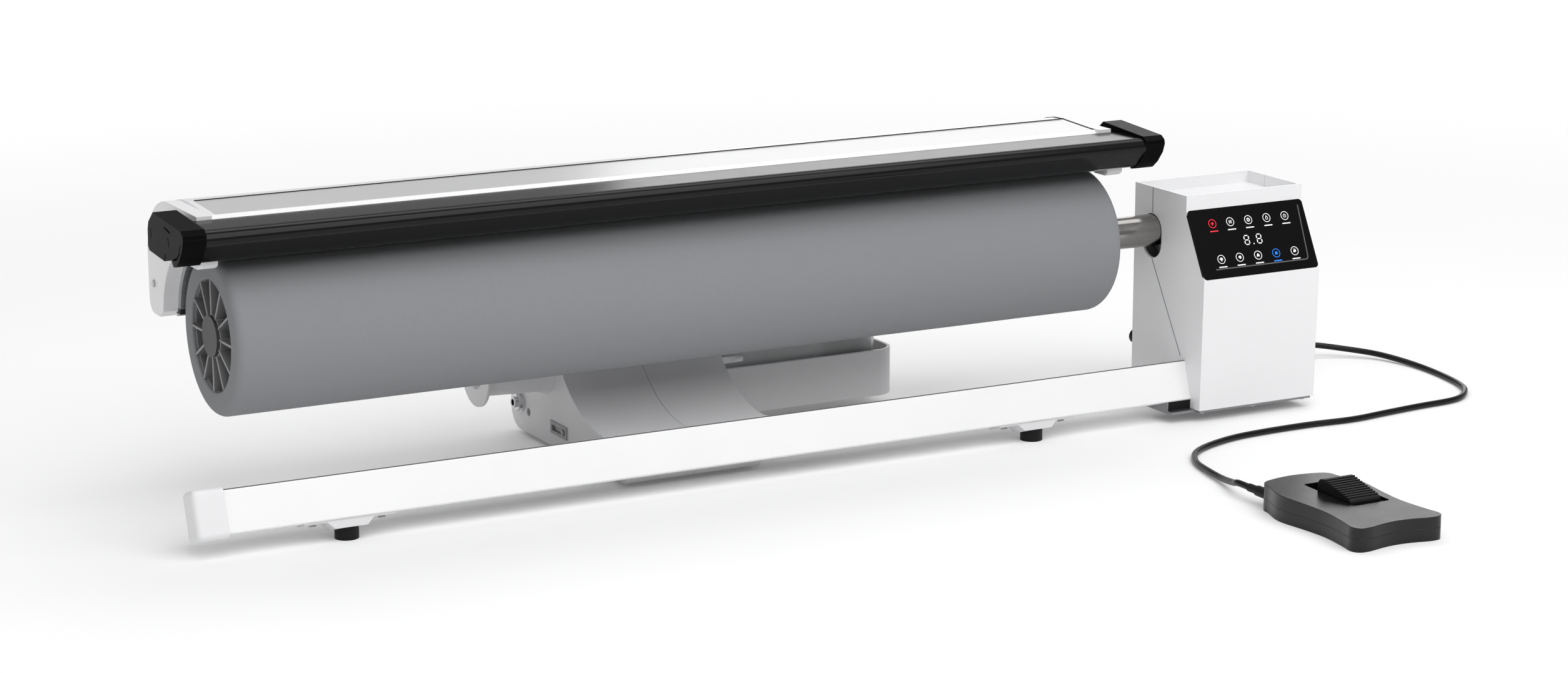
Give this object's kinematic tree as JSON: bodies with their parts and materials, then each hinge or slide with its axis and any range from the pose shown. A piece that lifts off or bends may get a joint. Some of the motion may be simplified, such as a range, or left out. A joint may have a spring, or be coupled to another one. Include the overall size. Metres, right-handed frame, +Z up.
{
  "type": "flatwork ironer",
  "caption": "Tabletop rotary flatwork ironer: cloth-covered roller on a lifting shaft under a curved heated shoe, with a control tower, water tank and foot pedal.",
  "frame": {"origin": "on the table under the middle of the base's front rubber pad, straight below the roller's axis and midway along the roller", "axes": "+X along the roller towards the control tower, +Y from the user to the back, +Z up"},
  "size_m": [1.2875, 0.7028, 0.2755],
  "materials": {
    "roller_cloth": "matt woven cloth",
    "drum_metal": "plain",
    "hub_plastic": "satin",
    "cap_plastic": "polished",
    "shaft_steel": "polished",
    "nylon": "satin",
    "carriage_metal": "cast",
    "motor_metal": "satin",
    "pinion_brass": "machined",
    "tower_white": "satin gloss",
    "frame_steel": "zinc plated",
    "panel_black": "polished",
    "circuit_board": "lacquered",
    "screw_steel": "plated",
    "rubber_black": "matt",
    "beam_white": "powder coat",
    "cap_white": "satin",
    "base_grey": "fine texture",
    "fitting_metal": "plated",
    "switch_dark": "satin",
    "pump_plastic": "satin",
    "tank_clear": "clear",
    "lid_grey": "satin",
    "filter_dark": "rough",
    "shoe_metal": "polished",
    "seal_black": "matt",
    "element_steel": "heat tinted",
    "head_white": "gloss enamel",
    "cheek_white": "satin",
    "rail_cap_dark": "satin",
    "pedal_grey": "fine texture",
    "treadle_dark": "fine texture",
    "cable_grey": "matt"
  },
  "bodies": {
    "frame": {"guide_rods": "shaft_steel", "lift_motor": "motor_metal", "tower_front_shell": "tower_white", "tower_rear_shell": "tower_white", "tower_shelf": "tower_white", "tower_frame": "frame_steel", "tower_bottom_plate": "frame_steel", "head_column": "frame_steel", "head_spine": "frame_steel", "base_bottom": "frame_steel", "control_panel": "panel_black", "top_panel": "panel_black", "control_board": "circuit_board", "power_board": "circuit_board", "case_screws": "screw_steel", "pedal_gland": "rubber_black", "mains_gland": "rubber_black", "beam_wedge": "rubber_black", "rubber_feet": "rubber_black", "base_pads": "rubber_black", "pedal_strain_relief": "rubber_black", "beam": "beam_white", "foot_brackets": "beam_white", "beam_end_cap": "cap_white", "side_hub": "cap_white", "tank_lug": "cap_white", "base_left_shell": "base_grey", "base_right_shell": "base_grey", "tank_tray": "base_grey", "steam_fitting": "fitting_metal", "switch_bezel": "switch_dark", "water_pump": "pump_plastic", "pedal_switch": "pump_plastic", "shoe_plate": "shoe_metal", "shoe_seal": "seal_black", "heating_rods": "element_steel", "head_cover": "head_white", "front_rail": "head_white", "side_cheeks": "cheek_white", "rail_caps": "rail_cap_dark", "pedal_top": "pedal_grey", "pedal_bottom": "pedal_grey", "pedal_cable": "cable_grey"},
    "carriage": {"lift_carriage": "carriage_metal", "shaft_bearings": "shaft_steel", "drive_motor": "motor_metal"},
    "roller": {"roller_cover": "roller_cloth", "roller_drum": "drum_metal", "spoked_hub": "hub_plastic", "hub_cap": "cap_plastic", "drive_hub": "hub_plastic", "roller_shaft": "shaft_steel", "drive_gear": "nylon"},
    "motor_pinion": {"drive_pinion": "pinion_brass"},
    "lift_gear": {"lift_pinion": "pinion_brass"},
    "treadle": {"pedal_treadle": "treadle_dark"},
    "rocker": {"switch_rocker": "switch_dark"},
    "tank": {"water_tank": "tank_clear", "tank_lid": "lid_grey", "tank_filter": "filter_dark"}
  },
  "joints": [
    {"name": "roller_lift", "type": "slide", "parent": "frame", "child": "carriage", "axis": [0, 0, -1], "range_m": [0, 0.011]},
    {"name": "roller_spin", "type": "hinge", "parent": "carriage", "child": "roller", "pos_m": [0, 0, 0.169], "axis": [1, 0, 0], "continuous": true},
    {"name": "pinion_spin", "type": "hinge", "parent": "carriage", "child": "motor_pinion", "pos_m": [0.531, -0.00611, 0.14024], "axis": [1, 0, 0], "continuous": true},
    {"name": "lift_pinion_turn", "type": "hinge", "parent": "frame", "child": "lift_gear", "pos_m": [0.565, -0.0156, 0.07], "axis": [1, 0, 0], "range_deg": [0, 76]},
    {"name": "treadle_press", "type": "hinge", "parent": "frame", "child": "treadle", "pos_m": [0.423, -0.433, 0.0175], "axis": [-1, 0, 0], "range_deg": [0, 6], "stiffness_Nm_per_rad": 5, "springref_deg": -4.58},
    {"name": "switch_tip", "type": "hinge", "parent": "frame", "child": "rocker", "pos_m": [-0.0632, 0.1015, 0.0221], "axis": [0, 0, 1], "range_deg": [0, 16]},
    {"name": "tank_lift", "type": "slide", "parent": "frame", "child": "tank", "axis": [0, 0, 1], "range_m": [0, 0.06]}
  ],
  "couplings": [
    {"joint": "pinion_spin", "follows": "roller_spin", "ratio": -2.5},
    {"joint": "lift_pinion_turn", "follows": "roller_lift", "rad_per_m": 119.05}
  ]
}
